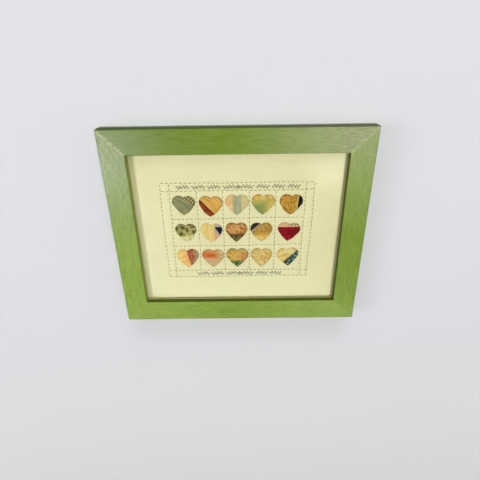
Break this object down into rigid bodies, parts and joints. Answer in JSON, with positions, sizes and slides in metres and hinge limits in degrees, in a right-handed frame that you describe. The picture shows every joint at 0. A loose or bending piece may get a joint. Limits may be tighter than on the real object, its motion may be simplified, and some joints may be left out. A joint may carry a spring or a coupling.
{
  "type": "framed mini quilt",
  "caption": "Small quilted panel of patchwork hearts on cream cloth, behind glass in a flat green-painted mitred wooden frame.",
  "frame": {"origin": "centre of the frame's back, on the surface that it lies on", "axes": "+Z out of the picture's face, +Y towards the picture's top edge, +X to its right"},
  "size_m": [0.301, 0.25, 0.019],
  "materials": {
    "green_paint": "satin",
    "picture_glass": "gloss",
    "cream_cotton": "matte",
    "fibreboard": "matte",
    "plated_steel": "satin",
    "sage_cotton": "matte",
    "brown_check_cotton": "matte",
    "gold_cotton": "matte",
    "rust_cotton": "matte",
    "peach_cotton": "matte",
    "grey_blue_cotton": "matte",
    "straw_cotton": "matte",
    "meadow_green_cotton": "matte",
    "ochre_cotton": "matte",
    "black_cotton": "matte",
    "leafy_olive_cotton": "matte",
    "pale_lime_cotton": "matte",
    "cream_gold_cotton": "matte",
    "rose_stripe_cotton": "matte",
    "dark_navy_cotton": "matte",
    "russet_cotton": "matte",
    "moss_brown_cotton": "matte",
    "misty_stripe_cotton": "matte",
    "crimson_cotton": "matte",
    "red_floral_cotton": "matte",
    "coral_cotton": "matte",
    "pale_sage_cotton": "matte",
    "green_cotton": "matte",
    "tan_cotton": "matte",
    "starry_blue_cotton": "matte"
  },
  "bodies": {
    "root": {"top_rail": "green_paint", "bottom_rail": "green_paint", "left_rail": "green_paint", "right_rail": "green_paint", "glass_pane": "picture_glass", "quilt_ground": "cream_cotton", "backing_board": "fibreboard", "top_point_1": "plated_steel", "top_point_2": "plated_steel", "bottom_point_1": "plated_steel", "bottom_point_2": "plated_steel", "left_point_1": "plated_steel", "right_point_1": "plated_steel", "heart_01_main": "sage_cotton", "heart_01_corner": "brown_check_cotton", "heart_02_main": "gold_cotton", "heart_02_band": "rust_cotton", "heart_03_left": "peach_cotton", "heart_03_middle": "grey_blue_cotton", "heart_03_right": "straw_cotton", "heart_04_top": "gold_cotton", "heart_04_main": "meadow_green_cotton", "heart_04_side": "gold_cotton", "heart_05_main": "ochre_cotton", "heart_05_strip": "black_cotton", "heart_06_main": "leafy_olive_cotton", "heart_06_base": "pale_lime_cotton", "heart_07_main": "cream_gold_cotton", "heart_07_ribbon": "rose_stripe_cotton", "heart_07_corner": "dark_navy_cotton", "heart_08_main": "russet_cotton", "heart_08_tip": "moss_brown_cotton", "heart_09_corner": "dark_navy_cotton", "heart_09_stripe": "misty_stripe_cotton", "heart_09_main": "gold_cotton", "heart_09_base": "gold_cotton", "heart_10_top": "straw_cotton", "heart_10_main": "crimson_cotton", "heart_11_left": "peach_cotton", "heart_11_right": "red_floral_cotton", "heart_12_main": "coral_cotton", "heart_12_side": "pale_sage_cotton", "heart_12_base": "pale_sage_cotton", "heart_13_left": "ochre_cotton", "heart_13_right": "russet_cotton", "heart_13_tip": "green_cotton", "heart_14_main": "tan_cotton", "heart_15_main": "cream_gold_cotton", "heart_15_band": "starry_blue_cotton"}
  },
  "joints": []
}
